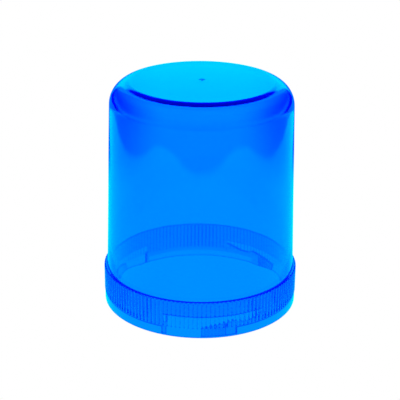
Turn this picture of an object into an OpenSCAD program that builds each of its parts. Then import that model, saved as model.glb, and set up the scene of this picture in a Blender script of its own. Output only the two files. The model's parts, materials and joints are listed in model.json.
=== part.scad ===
// Lens of a rotating or flashing warning beacon: one transparent moulding that stands on its rim.
// The origin is the middle of the rim, +Z points up to the crown, and the first track's entry faces -Y.

/* [Overall] */
// Height from the rim to the top of the crown
lens_h = 176; // [140:1:220]
// Diameter over the flutes of the grip band
band_d = 150; // [130:1:190]

/* [Dome] */
// Thickness of the dome's wall and top
wall = 2.5; // [1.6:0.1:4]
// Draft of the dome's wall, in degrees from upright
draft = 1.5; // [0.5:0.1:2.5]
// Outer radius of the rounded shoulder
shoulder_r = 17.5; // [10:0.5:26]
// How much smaller the shoulder's inner radius is than an even wall would make it
corner_fill = 3; // [0:0.5:5]
// Rise of the crown above the shoulder
crown_rise = 0.8; // [0.4:0.1:3]
// Flat ring between the crown and the shoulder
crown_land = 0.5; // [0.2:0.1:3]

/* [Grip band] */
// Thickness of the band from the bore to the crest of a flute
band_wall = 5; // [4:0.1:7]
// Height of the band's top above the rim
band_top = 29; // [25:0.5:45]
// Height of the band's lower edge above the rim
band_bottom = 8; // [6.5:0.5:10]
// Number of flutes
flute_count = 144; // [72:12:180]
// Depth of the groove between two flutes
flute_depth = 1.1; // [0.3:0.05:1.5]
// Bevel on the upper edge of the band
band_bevel = 1.6; // [0.4:0.1:2]

/* [Skirt] */
// Step from the crest of a flute in to the skirt
skirt_step = 0.3; // [0.1:0.05:0.6]
// Thickness of the wall between the skirt's face and the recesses
skirt_wall = 2.6; // [2:0.1:3.2]
// Height of the wide recess inside the skirt
recess_h = 6; // [4:0.5:6.5]
// Bevel on the outer edge of the rim
rim_bevel = 0.6; // [0.2:0.1:1]

/* [Bayonet tracks] */
// Number of tracks
track_count = 3; // [2:1:4]
// Direction in which the first track starts, in degrees from +X
track_start = -111.25; // [-180:0.25:180]
// Angle of the open entry
entry_angle = 22.5; // [12:0.5:30]
// Angle that a lug runs from the entry to the end stop
run_angle = 40; // [30:0.5:50]
// Height of the track's roof above the rim
track_top = 16.5; // [15.5:0.5:20]
// How far the lands between the tracks draw back at the rim, as a lead-in for the base
lead_in = 0.4; // [0.2:0.1:1]
// Height of the ledge where a lug runs on to it
lead_h = 8; // [7:0.5:9]
// Height of the ledge's crest, which draws the lens down
crest_h = 12; // [10:0.5:13]
// Height of the seat behind the crest, which holds the lug
seat_h = 10; // [8.5:0.5:11.5]
// Height of the ledge at the end stop
stop_h = 14; // [12:0.5:15]
// Height of the guide rib beside the entry
guide_h = 10.5; // [8:0.5:13]
// Angle of the guide rib
guide_angle = 2.5; // [2:0.5:4]
// Gap between the rim and the feet of the ledge and the rib
foot_gap = 0.8; // [0.4:0.1:2]

/* [Gate mark] */
// Diameter of the dimple in the middle of the crown
gate_d = 5; // [4:0.5:12]
// Depth of the dimple
gate_depth = 0.25; // [0.15:0.05:1]
// Diameter of the broken-off sprue in the dimple
sprue_d = 1.8; // [1:0.1:3.5]

/* [Hidden] */
$fn = 180;
cut = 1; // how far a cutting shape runs past the face that it opens
collar_gap = 0.5; // height from the tracks' roof up to the plain round bore

band_r = band_d / 2;
bore_r = band_r - band_wall;
skirt_r = band_r - skirt_step;
recess_r = skirt_r - skirt_wall;
foot_r = bore_r + wall / cos(draft);     // outside of the dome where it leaves the band
eaves_h = lens_h - crown_rise;           // height at which the shoulder meets the crown
shoulder_h = eaves_h - shoulder_r;       // height of the shoulder's centre
shoulder_c = foot_r - (shoulder_h - band_top) * tan(draft) - shoulder_r / cos(draft);
crown_edge = shoulder_c - crown_land;
crown_r = (pow(crown_edge, 2) + pow(crown_rise, 2)) / (2 * crown_rise);
collar_h = track_top + collar_gap;       // height at which the plain round bore starts

// Shares of the run at which the ledge changes its slope
crest_at = 0.52;
seat_at = 0.6;
seat_end = 0.74;
foot_angle = crest_at * run_angle;
guide_back = 1.25; // degrees that the guide rib stands out into the entry
stop_lap = 1; // degrees that the ledge runs on into the wall past the end stop
sprue_share = 0.7; // height of the sprue as a share of the dimple's depth
flute_steps = 4; // flats that each rounded flute is made of

// Half section of the dome, moved in by inset from the outer surface, with a shoulder tighter by fill
module dome_section(inset, fill, z_low) {
    r = shoulder_r - inset - fill;
    centre_h = shoulder_h + fill;
    centre = [foot_r - (centre_h - band_top) * tan(draft) - (inset + r) / cos(draft), centre_h];
    tangent = centre + r * [cos(draft), sin(draft)];
    low = tangent + [tangent.y - z_low, 0] * tan(draft);
    polygon([[0, z_low], [low.x, z_low], tangent, [centre.x, centre_h + r], [0, centre_h + r]]);
    translate(centre) circle(r);
    intersection() {
        translate([0, lens_h - inset - crown_r]) circle(crown_r, $fn = 1440);
        translate([0, shoulder_h]) square([shoulder_c, lens_h - shoulder_h]);
    }
}

module dome() {
    rotate_extrude() intersection() {
        dome_section(0, 0, 0);
        square([band_r, lens_h]);
    }
}

// Plan of the band: rounded flutes with a sharp groove between each two
module fluted_plan() {
    polygon([for (i = [0 : flute_count * flute_steps - 1])
        let (turn = 360 * i / flute_count / flute_steps, phase = 180 * (i % flute_steps) / flute_steps)
        (band_r - flute_depth * (1 - abs(cos(phase)))) * [cos(turn), sin(turn)]]);
}

module grip_band() {
    intersection() {
        translate([0, 0, band_bottom]) linear_extrude(band_top - band_bottom) fluted_plan();
        rotate_extrude() polygon([
            [0, 0], [band_r + cut, 0], [band_r + cut, band_top - band_bevel - cut],
            [band_r - band_bevel, band_top], [0, band_top]
        ]);
    }
}

module skirt() {
    rotate_extrude() polygon([
        [0, 0], [skirt_r - rim_bevel, 0], [skirt_r, rim_bevel], [skirt_r, band_bottom],
        [foot_r, band_bottom + cut], [0, band_bottom + cut]
    ]);
}

// Slice of a disc that starts at +X
module wedge(r, angle, z_low, z_high) {
    rotate_extrude(angle = angle) translate([0, z_low]) square([r, z_high - z_low]);
}

// Block whose outline is drawn flat across the middle of a lug's run and pushed out through the wall.
// The outline's points are an angle along the run and a height.
module run_block(outline) {
    rotate(entry_angle + run_angle / 2) rotate([90, 0, 90])
        linear_extrude(band_r)
            polygon([for (p = outline) [recess_r * sin(p[0] - run_angle / 2), p[1]]]);
}

// Ledge that a lug rides over: up to the crest, down to the seat and up to the end stop
module ledge() {
    run_block([
        [0, recess_h - 2 * cut], [0, lead_h], [foot_angle, crest_h], [seat_at * run_angle, seat_h],
        [seat_end * run_angle, seat_h], [run_angle + stop_lap, stop_h],
        [run_angle + stop_lap, recess_h - 2 * cut]
    ]);
}

// Foot of the ledge, which reaches down almost to the rim
module ledge_foot() {
    run_block([
        [0, foot_gap], [foot_angle, foot_gap], [foot_angle, recess_h + cut], [0, recess_h + cut]
    ]);
}

module guide_rib() {
    rotate(guide_back - guide_angle) wedge(band_r, guide_angle, foot_gap, guide_h);
}

module at_tracks() {
    for (i = [0 : track_count - 1]) rotate(track_start + i * 360 / track_count) children();
}

// Wide recess inside the skirt
module rim_recess() {
    difference() {
        translate([0, 0, -cut]) cylinder(r = recess_r, h = recess_h + cut);
        at_tracks() {
            ledge_foot();
            guide_rib();
        }
    }
}

// Entries and runs of the bayonet, above the recess
module tracks() {
    at_tracks() difference() {
        wedge(recess_r, entry_angle + run_angle, recess_h - cut, track_top);
        ledge();
        guide_rib();
    }
}

// The space inside the dome, the plain bore below it and the lead-in down to the rim
module hollow() {
    rotate_extrude() {
        intersection() {
            dome_section(wall, corner_fill, band_top);
            square([band_r, lens_h]);
        }
        polygon([
            [0, -cut], [bore_r + lead_in, -cut], [bore_r + lead_in, 0],
            [bore_r, collar_h], [bore_r, band_top], [0, band_top]
        ]);
    }
}

module gate_mark() {
    floor_z = lens_h - gate_depth;
    difference() {
        translate([0, 0, floor_z]) cylinder(d = gate_d, h = gate_depth + cut);
        translate([0, 0, floor_z - cut]) cylinder(d = sprue_d, h = gate_depth * sprue_share + cut);
    }
}

module lens() {
    color([0, 0.4, 1, 0.6]) difference() {
        union() {
            dome();
            grip_band();
            skirt();
        }
        hollow();
        rim_recess();
        tracks();
        gate_mark();
    }
}

lens();
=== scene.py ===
import json
import math

import bmesh
import bpy
from mathutils import Matrix, Vector


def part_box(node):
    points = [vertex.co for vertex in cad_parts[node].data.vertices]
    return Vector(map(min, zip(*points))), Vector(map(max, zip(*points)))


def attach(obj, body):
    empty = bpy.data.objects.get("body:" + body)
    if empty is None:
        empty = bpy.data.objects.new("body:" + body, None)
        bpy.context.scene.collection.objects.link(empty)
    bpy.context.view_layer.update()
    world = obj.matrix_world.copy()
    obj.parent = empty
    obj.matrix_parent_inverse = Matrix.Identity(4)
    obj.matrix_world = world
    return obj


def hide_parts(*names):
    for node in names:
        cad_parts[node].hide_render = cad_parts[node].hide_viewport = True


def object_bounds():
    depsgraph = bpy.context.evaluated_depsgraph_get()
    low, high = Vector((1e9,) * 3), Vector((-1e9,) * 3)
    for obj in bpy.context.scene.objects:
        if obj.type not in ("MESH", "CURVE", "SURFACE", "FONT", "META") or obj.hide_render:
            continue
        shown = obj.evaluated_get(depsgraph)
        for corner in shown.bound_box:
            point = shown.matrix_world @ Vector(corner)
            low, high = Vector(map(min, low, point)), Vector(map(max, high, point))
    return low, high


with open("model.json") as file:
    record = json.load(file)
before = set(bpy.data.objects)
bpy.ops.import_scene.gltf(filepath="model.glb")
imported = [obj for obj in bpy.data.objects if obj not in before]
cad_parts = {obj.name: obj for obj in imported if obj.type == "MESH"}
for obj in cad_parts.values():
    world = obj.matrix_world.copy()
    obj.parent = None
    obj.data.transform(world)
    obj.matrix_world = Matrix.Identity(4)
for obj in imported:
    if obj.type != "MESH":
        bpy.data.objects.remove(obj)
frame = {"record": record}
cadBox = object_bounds()

mm = 0.001
scene = bpy.context.scene
scene.view_settings.view_transform = "Standard"


class Wire:
    # a socket of a node tree; + - and * on it add Math nodes
    def __init__(self, tree, socket=None):
        self.tree = tree
        self.socket = socket

    def node(self, kind, settings={}, sockets={}, output=0):
        made = self.tree.nodes.new("ShaderNode" + kind)
        for name, value in settings.items():
            setattr(made, name, value)
        for name, value in sockets.items():
            if isinstance(value, Wire):
                self.tree.links.new(value.socket, made.inputs[name])
            else:
                made.inputs[name].default_value = value
        return Wire(self.tree, made.outputs[output] if made.outputs else None)

    def math(self, operation, first, second):
        return self.node("Math", {"operation": operation}, {0: first, 1: second})

    def vector(self, operation, first, second=(0, 0, 0), output="Vector"):
        return self.node("VectorMath", {"operation": operation}, {0: first, 1: second}, output)

    def fade(self, value, fromValue, toValue):
        # 0 at fromValue and 1 at toValue, with soft ends
        return self.node("MapRange", {"interpolation_type": "SMOOTHSTEP"},
                         {"Value": value, "From Min": fromValue, "From Max": toValue})

    def __add__(self, other):
        return self.math("ADD", self, other)

    def __sub__(self, other):
        return self.math("SUBTRACT", self, other)

    def __mul__(self, other):
        return self.math("MULTIPLY", self, other)

    __radd__ = __add__
    __rmul__ = __mul__

    def __rsub__(self, other):
        return self.math("SUBTRACT", other, self)


view = {
    "elevation": 22.254,     # degrees above the horizon
    "roll": 0.586,           # degrees that the camera is turned about its own axis
    "distance": 6.243,       # from the aim point, in widths of the lens
    "aimHeight": 0.4537,     # share of the height that the camera looks at
    "aimSide": -0.004,       # share of the width that the aim lies to the right
    "focalLength": 109.5,
    "sensorWidth": 36,
    "nearest": 0.01,         # metres in front of the camera where the view starts
    "farthest": 50,
}


def makeCamera():
    low, high = cadBox
    size = high - low
    aim = Vector((size.x * view["aimSide"], 0, low.z + size.z * view["aimHeight"]))
    tilt = math.radians(view["elevation"])
    data = bpy.data.cameras.new("camera")
    data.sensor_width = view["sensorWidth"]
    data.lens = view["focalLength"]
    data.clip_start = view["nearest"]
    data.clip_end = view["farthest"]
    camera = bpy.data.objects.new("camera", data)
    roll = Matrix.Rotation(math.radians(view["roll"]), 4, "Z")
    turned = Matrix.Rotation(math.pi / 2 - tilt, 4, "X") @ roll
    camera.matrix_world = Matrix.Translation(
        aim + size.x * view["distance"] * Vector((0, -math.cos(tilt), math.sin(tilt)))) @ turned
    scene.collection.objects.link(camera)
    scene.camera = camera


makeCamera()
print("camera placed")

studio = {
    "pale": (1.0, 1.0, 1.0, 1),       # what the camera sees behind the lens
    "blue": 6.0,                      # the same from everywhere; there is no red, so gloss stays blue
    "roomGreen": 0.02,                # green light from the dark room
    "tableHalf": (0.455, 0.457, 0),   # half the size of the lit table under the lens, in metres
    "tableCorner": 0.2,               # radius of its corners
    "tableFade": 0.02,                # width of its soft edge
    "tableGreen": 1.35,
    "tableDrop": 0.0002,              # how far the table lies below the rim
    "shadeRadius": 0.073,             # the table is shaded under the lens
    "shadeSoft": 0.001,
    "shadeGreen": 0.55,
    "aroundHalf": 1.2,                # half the size of the ground around the table
    "aroundGreen": 0.5,
    "panelAt": 0.45,                  # distance of the lit panel that stands behind the lens
    "panelHalf": 0.265,
    "panelHeight": 0.42,
    "panelFade": 0.05,
    "panelGreen": 1.35,               # near the table
    "panelTopGreen": 1.7,             # higher up
    "panelTop": (0.12, 0.25),
    "wingFrom": 0.2,                  # from here back the table falls dark on both sides
    "wingBack": 0.34,
    "wingInner": (0.04, 0.125),       # the dark strips start and end at these distances from the middle
    "wingOuter": (0.25, 0.2),
    "wingShade": 0.85,
    "floorHalf": 6,
    "floorDrop": 0.001,
}


def startMaterial(name):
    material = bpy.data.materials.new(name)
    material.use_nodes = True
    material.node_tree.nodes.clear()
    return material, Wire(material.node_tree)


def greenLight(start, green):
    colour = start.node("CombineXYZ", sockets={"X": 0.0, "Y": green, "Z": studio["blue"]})
    return start.node("Emission", sockets={"Color": colour})


def makeWorld():
    world = bpy.data.worlds.new("studio light")
    world.use_nodes = True
    world.node_tree.nodes.clear()
    start = Wire(world.node_tree)
    room = start.node("Background", sockets={"Color": (0, studio["roomGreen"], studio["blue"], 1)})
    seen = start.node("Background", sockets={"Color": studio["pale"]})
    isSeen = start.node("LightPath", output="Is Camera Ray")
    mixed = start.node("MixShader", sockets={0: isSeen, 1: room, 2: seen})
    start.node("OutputWorld", sockets={"Surface": mixed})
    scene.world = world


def wingShade(start, place):
    # how much light the dark strips behind the lens, left and right of the middle, take away
    side = start.node("SeparateXYZ", sockets={0: start.vector("ABSOLUTE", place)}, output="X")
    return (start.fade(side, *studio["wingInner"]) * start.fade(side, *studio["wingOuter"])
            * studio["wingShade"])


def tableLight(start):
    place = start.node("TexCoord", output="Object")
    depth = start.node("SeparateXYZ", sockets={0: place}, output="Y")
    wings = wingShade(start, place) * start.fade(depth, studio["wingFrom"], studio["wingBack"])
    corner = studio["tableCorner"]
    straight = [half - corner for half in studio["tableHalf"][:2]] + [0]
    beyond = start.vector("SUBTRACT", start.vector("ABSOLUTE", place), straight)
    outside = start.vector("LENGTH", start.vector("MAXIMUM", beyond), output="Value")
    lit = start.fade(outside, corner + studio["tableFade"], corner - studio["tableFade"])
    radius = start.vector("LENGTH", place, output="Value")
    soft = studio["shadeSoft"]
    shaded = start.fade(radius, studio["shadeRadius"] + soft, studio["shadeRadius"] - soft)
    green = (studio["aroundGreen"] + lit * (studio["tableGreen"] - studio["aroundGreen"])
             - shaded * (studio["tableGreen"] - studio["shadeGreen"]))
    return greenLight(start, green * (1 - wings))


def panelLight(start):
    place = start.node("TexCoord", output="Object")
    height = start.node("SeparateXYZ", sockets={0: place}, output="Z")
    side = start.node("SeparateXYZ", sockets={0: start.vector("ABSOLUTE", place)}, output="X")
    fade = studio["panelFade"]
    lit = (start.fade(height, studio["panelHeight"], studio["panelHeight"] - fade)
           * start.fade(side, studio["panelHalf"], studio["panelHalf"] - fade))
    high = start.fade(height, *studio["panelTop"])
    low = (1 - high) * (1 - wingShade(start, place)) * studio["panelGreen"]
    return greenLight(start, lit * (high * studio["panelTopGreen"] + low) + studio["roomGreen"])


def paleFloor(start):
    pale = start.node("Emission", sockets={"Color": studio["pale"]})
    below = start.node("NewGeometry", output="Backfacing")
    return start.node("MixShader", sockets={0: below, 1: pale, 2: start.node("BsdfTransparent")})


def makeStage(name, size, place, turn, shade):
    sheet = bmesh.new()
    bmesh.ops.create_grid(sheet, x_segments=1, y_segments=1, size=1)
    bmesh.ops.scale(sheet, vec=(size[0], size[1], 1), verts=sheet.verts)
    bmesh.ops.rotate(sheet, verts=sheet.verts, cent=(0, 0, 0),
                     matrix=Matrix.Rotation(math.radians(turn), 3, "X"))
    bmesh.ops.translate(sheet, vec=place, verts=sheet.verts)
    mesh = bpy.data.meshes.new(name)
    sheet.to_mesh(mesh)
    sheet.free()
    piece = bpy.data.objects.new(name, mesh)
    scene.collection.objects.link(piece)
    material, start = startMaterial(name)
    start.node("OutputMaterial", sockets={"Surface": shade(start)})
    mesh.materials.append(material)
    return piece


def makeStudio():
    # the lens sees the table and the panel; the camera sees only the floor
    around = studio["aroundHalf"]
    table = makeStage("lit_table", (around, around), (0, 0, -studio["tableDrop"]), 0, tableLight)
    table.visible_camera = False
    half, tall = studio["panelHalf"], studio["panelHeight"] / 2
    panel = makeStage("back_panel", (half, tall), (0, studio["panelAt"], tall), 90, panelLight)
    panel.visible_camera = False
    wide = studio["floorHalf"]
    floor = makeStage("pale_floor", (wide, wide), (0, 0, -studio["floorDrop"]), 0, paleFloor)
    for ray in ("diffuse", "glossy", "transmission", "volume_scatter", "shadow"):
        setattr(floor, "visible_" + ray, False)


makeWorld()
makeStudio()
print("studio ready")

mounts = {mount["name"]: mount for mount in frame["record"]["mounts"]}
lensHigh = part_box("lens")[1]

lensShape = {
    "wall": 2.5,            # thickness of the dome, in millimetres like the other lengths here
    "draft": 1.5,           # degrees that the wall leans in
    "shoulder": 17.5,       # outer radius of the rounded shoulder
    "cornerFill": 3.0,      # how much tighter its inner radius is than an even wall would make it
    "crownRise": 0.8,       # how much the crown stands above the shoulder
    "crownLand": 0.5,       # flat ring between the crown and the shoulder
    "fillet": 0.25,         # where the wall meets the band
    "topRound": 1.2,        # rounding of the band's upper edge
    "rimBevel": 0.6,        # rounding of the rim's outer edge
    "skirtStep": 0.3,       # from the crest of a flute in to the skirt
    "bandBottom": 8.0,      # height of the band's lower edge
    "recessHeight": 6.0,    # height of the wide recess inside the skirt
    "leadIn": 0.4,          # how far the lands between the tracks draw back at the rim
    "soft": 0.15,           # rounding of the small moulded edges
    "crownSteps": 5,        # mesh rows of the crown, and of the other stretches below
    "shoulderSteps": 22,
    "wallSteps": 6,
    "filletSteps": 4,
    "topSteps": 6,
    "rimSteps": 3,
    "mergeGap": 0.0001,     # points closer than this become one
    "crease": 38,           # edges that turn by more degrees than this stay sharp
}

flutes = {
    "count": 144,
    "depth": 1.1,
    "columns": 6,           # mesh columns for each rounded flute
}

tracks = {
    "count": 3,
    "start": -111.25,       # direction in which the first one starts, in degrees from +X
    "entry": 22.5,          # angle of the open entry
    "run": 40.0,            # angle that a lug runs
    "ledge": [(0.0, 8.0), (0.52, 12.0), (0.6, 10.0), (0.74, 10.0), (1.0, 14.0)],
    "ledgeSlope": 0.15,     # how much the ledge's top falls towards the bore
    "footEnd": 0.52,        # share of the run that the ledge's foot takes up
    "footGap": 0.8,         # height of the foot above the rim
    "rows": 8,              # mesh rows of the wall that the tracks are cut into
    "rowGap": 1.0,          # their distance before trackPlace moves them
    "rib": (-1.25, 1.25),   # the guide rib beside the entry, in degrees
    "ribHeight": 10.5,
    "side": 0.83,           # degrees over which the side of a block slopes
    "teeth": (1.25, 14.6),  # where the foot of the ledge is serrated, in degrees from the entry's end
    "toothPitch": 0.8333,
    "toothDepth": 0.8,
}

gate = {
    "radius": 2.5,
    "depth": 0.25,
    "sprueRadius": 0.9,
    "sprueHeight": 0.18,
    "edge": 0.6,            # width of the dimple's sloping edge
    "soft": 0.15,
}

lensHeight = lensHigh.z / mm
bandRadius = lensHigh.x / mm
boreRadius = mounts["spigot_bore"]["dims"]["r_mm"]
collarHeight = mounts["spigot_bore"]["pos_m"][2] / mm
bandTop = collarHeight + mounts["spigot_bore"]["dims"]["length_mm"]
recessRadius = mounts["bayonet_tracks"]["dims"]["r_mm"]
trackTop = mounts["bayonet_tracks"]["dims"]["length_mm"]


def arcPoints(centre, radius, fromAngle, toAngle, steps):
    turns = [math.radians(fromAngle + (toAngle - fromAngle) * i / steps) for i in range(steps + 1)]
    return [(centre[0] + radius * math.cos(t), centre[1] + radius * math.sin(t)) for t in turns]


def shoulderArc(inset, fill):
    # centre and radius of the shoulder's arc, which touches the wall and the top
    shape = lensShape
    draft = math.radians(shape["draft"])
    footRadius = boreRadius + shape["wall"] / math.cos(draft)
    radius = shape["shoulder"] - inset - fill
    z = lensHeight - shape["crownRise"] - inset - radius
    return (footRadius - (z - bandTop) * math.tan(draft) - (inset + radius) / math.cos(draft), z), radius


def domeSection(inset, fill, crownStart, wallEnd):
    # half section of one face of the dome, from the crown out and down the wall
    shape = lensShape
    draft = math.radians(shape["draft"])
    crownEdge = shoulderArc(0, 0)[0][0] - shape["crownLand"]
    crownRadius = (crownEdge ** 2 + shape["crownRise"] ** 2) / (2 * shape["crownRise"])
    crown = []
    for i in range(shape["crownSteps"] + 1):
        r = crownStart + (crownEdge - crownStart) * i / shape["crownSteps"]
        crown.append((r, lensHeight - inset - crownRadius + math.sqrt(crownRadius ** 2 - r ** 2)))
    shoulder = arcPoints(*shoulderArc(inset, fill), 90, shape["draft"], shape["shoulderSteps"])
    r, z = shoulder[-1]
    wall = []
    for i in range(1, shape["wallSteps"] + 1):
        step = (z - wallEnd) * i / shape["wallSteps"]
        wall.append((r + step * math.tan(draft), z - step))
    return crown + shoulder + wall


def gateSection():
    top = lensHeight
    floor = top - gate["depth"]
    nub, edge, soft = gate["sprueRadius"], gate["edge"], gate["soft"]
    return [(0, floor + gate["sprueHeight"]), (nub - soft, floor + gate["sprueHeight"]),
            (nub + soft, floor), (gate["radius"] - edge, floor),
            (gate["radius"] - edge / 2, (floor + top) / 2),
            (gate["radius"], top)]


def lensSection():
    # the whole half section: out over the crown, down the outside, round the rim and up the inside;
    # each point is a radius, a height, a share of the flutes' depth and a row of the tracks
    shape = lensShape
    fillet, bevel, soft = shape["fillet"], shape["topRound"], shape["soft"]
    outside = gateSection() + domeSection(0, 0, gate["radius"] + soft, bandTop + fillet)
    wallFoot = outside[-1][0]
    outside += arcPoints((wallFoot + fillet, bandTop + fillet), fillet, 180, 270,
                         shape["filletSteps"])[1:]
    points = [(r, z, 0, 0) for r, z in outside]
    steps = shape["topSteps"]
    top = arcPoints((bandRadius - bevel, bandTop - bevel), bevel, 90, 0, steps)
    points += [(r, z, i / steps, 0) for i, (r, z) in enumerate(top)]
    bottom = shape["bandBottom"]
    points += [(bandRadius, bottom + 2 * soft, 1, 0)]
    skirt = bandRadius - shape["skirtStep"]
    points += [(skirt, bottom, 0, 0), (skirt, bottom - 2 * soft, 0, 0)]
    edge = shape["rimBevel"]
    rim = arcPoints((skirt - edge, edge), edge, 0, -90, shape["rimSteps"])
    points += [(r, z, 0, 0) for r, z in rim]
    points += [(recessRadius + soft, 0, 0, 0), (recessRadius, soft, 0, 0)]
    for row in range(1, tracks["rows"] + 1):
        points.append((recessRadius, (1 + row) * tracks["rowGap"], 0, row))
    points += [(boreRadius, collarHeight, 0, 0), (boreRadius, bandTop, 0, 0)]
    inside = domeSection(shape["wall"], shape["cornerFill"], 0, bandTop)
    points += [(r, z, 0, 0) for r, z in reversed(inside[:-1])]
    return points


def ledgeHeight(angle):
    # height of the ledge at an angle from a track's start; between tracks it only carries the mesh rows on
    period = 360 / tracks["count"]
    stops = [(0.0, tracks["ribHeight"]), (tracks["rib"][1], tracks["ribHeight"])]
    stops += [(tracks["entry"] + share * tracks["run"], height) for share, height in tracks["ledge"]]
    stops += [(period + tracks["rib"][0], tracks["ribHeight"]), (period, tracks["ribHeight"])]
    for (a, low), (b, high) in zip(stops, stops[1:]):
        if a <= angle <= b:
            return low + (high - low) * (angle - a) / (b - a)


def blockShare(angle, fromAngle, toAngle):
    # 1 inside a block of a track, 0 outside it, and between on its sloping sides
    period = 360 / tracks["count"]
    inside = max(min(a - fromAngle, toAngle - a) for a in (angle - period, angle, angle + period))
    return max(0, min(1, 0.5 + inside / tracks["side"]))


def toothDepth(angle):
    first, last = (tracks["entry"] + edge for edge in tracks["teeth"])
    if not first <= angle <= last:
        return 0
    phase = 2 * math.pi * (angle - first) / tracks["toothPitch"]
    return tracks["toothDepth"] * (0.5 - 0.5 * math.cos(phase))


def trackPlace(angle, row):
    # radius and height of a point of the inner wall, by its row, counted from the rim up
    entryEnd, runEnd = tracks["entry"], tracks["entry"] + tracks["run"]
    rib = blockShare(angle, *tracks["rib"])
    foot = max(rib, blockShare(angle, entryEnd, entryEnd + tracks["footEnd"] * tracks["run"]))
    land = blockShare(angle, runEnd, 360 / tracks["count"])
    ledge = max(rib, land, blockShare(angle, entryEnd, runEnd))
    high, low, soft = ledgeHeight(angle), tracks["footGap"], lensShape["soft"]
    floor = lensShape["recessHeight"]
    rows = {
        1: (low, 0), 2: (low + soft, foot), 3: (floor, foot), 4: (floor + soft, ledge),
        5: (high - tracks["ledgeSlope"], ledge), 6: (high, land),
        7: (trackTop - soft, land), 8: (trackTop, 1),
    }
    height, share = rows[row]
    land = boreRadius + lensShape["leadIn"] * (1 - height / collarHeight)
    if row in (2, 3, 4, 5):
        land += toothDepth(angle)
    return recessRadius + (land - recessRadius) * share, height


def makeLens():
    shell = bmesh.new()
    fluteLayer = shell.verts.layers.float.new("flute")
    rowLayer = shell.verts.layers.int.new("row")
    section = []
    for r, z, share, row in lensSection():
        point = shell.verts.new((r, 0, z))
        point[fluteLayer] = share
        point[rowLayer] = row
        section.append(point)
    edges = [shell.edges.new(pair) for pair in zip(section, section[1:])]
    start = math.radians(tracks["start"])
    bmesh.ops.rotate(shell, verts=section, cent=(0, 0, 0), matrix=Matrix.Rotation(start, 3, "Z"))
    columns = flutes["count"] * flutes["columns"]
    bmesh.ops.spin(shell, geom=section + edges, cent=(0, 0, 0), axis=(0, 0, 1), angle=2 * math.pi,
                   steps=columns, use_merge=True)
    bmesh.ops.remove_doubles(shell, verts=shell.verts, dist=lensShape["mergeGap"])

    period = 360 / tracks["count"]
    for point in shell.verts:
        share, row = point[fluteLayer], point[rowLayer]
        if not share and not row:
            continue
        angle = math.degrees(math.atan2(point.co.y, point.co.x)) - tracks["start"]
        column = round(angle * columns / 360) % columns
        radius, height = math.hypot(point.co.x, point.co.y), point.co.z
        if share:
            groove = 1 - abs(math.sin(math.pi * column / flutes["columns"]))
            newRadius = radius - flutes["depth"] * share * groove
        else:
            newRadius, height = trackPlace(column * 360 / columns % period, row)
        point.co.x *= newRadius / radius
        point.co.y *= newRadius / radius
        point.co.z = height

    bmesh.ops.recalc_face_normals(shell, faces=shell.faces)
    crease = math.radians(lensShape["crease"])
    for face in shell.faces:
        face.smooth = True
    for edge in shell.edges:
        edge.smooth = edge.calc_face_angle(0) < crease
    bmesh.ops.scale(shell, vec=(mm, mm, mm), verts=shell.verts)

    mesh = bpy.data.meshes.new("beacon_lens")
    shell.to_mesh(mesh)
    shell.free()
    lens = bpy.data.objects.new("beacon_lens", mesh)
    scene.collection.objects.link(lens)
    return lens


lensPlastic = {
    "green": 0.2,                         # share of the green light that a millimetre takes away
    "red": 3.0,                           # the same for red
    "clear": (0, 0.67, 1, 1),             # what a wall lets through besides, where the dye is thin
    "dense": (0, 0.63, 1, 1),             # and where it is dense
    "swirl": 22.0,                        # how many streaks of dye there are to a metre
    "swirlDetail": 2.0,
    "ior": 1.59,
    "polish": 0.015,                      # roughness of the polished faces
    "handling": 0.03,                     # how much rougher the handled patches are
    "patches": 60.0,                      # how many of them there are to a metre
    "patchDetail": 5.0,
    "ripple": 0.05,                       # strength of the faint ripple of the moulded skin
    "rippleDetail": 1.0,
}


def makeLensPlastic():
    material, start = startMaterial("blue_polycarbonate")
    density = lensPlastic["red"] / mm
    kept = (0, 1 - lensPlastic["green"] / lensPlastic["red"], 1, 1)
    place = start.node("TexCoord", output="Object")
    swirl, patches = lensPlastic["swirl"], lensPlastic["patches"]
    dye = start.node("TexNoise", sockets={
        "Vector": place, "Scale": swirl, "Detail": lensPlastic["swirlDetail"]})
    colour = start.node("Mix", {"data_type": "RGBA"},
                        {0: dye, 6: lensPlastic["clear"], 7: lensPlastic["dense"]}, 2)
    worn = start.node("TexNoise", sockets={
        "Vector": place, "Scale": patches, "Detail": lensPlastic["patchDetail"]})
    skin = start.node("TexNoise", sockets={
        "Vector": place, "Scale": patches, "Detail": lensPlastic["rippleDetail"]})
    normal = start.node("Bump", sockets={
        "Strength": lensPlastic["ripple"], "Distance": mm, "Height": skin})
    surface = start.node("BsdfPrincipled", sockets={
        "Base Color": colour, "Roughness": worn * lensPlastic["handling"] + lensPlastic["polish"],
        "IOR": lensPlastic["ior"], "Transmission Weight": 1.0, "Normal": normal})
    inside = start.node("VolumeAbsorption", sockets={"Color": kept, "Density": density})
    start.node("OutputMaterial", sockets={"Surface": surface, "Volume": inside})
    return material


lens = makeLens()
lens.data.materials.append(makeLensPlastic())
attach(lens, "root")
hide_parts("lens")
print("lens made:", len(lens.data.polygons), "faces")
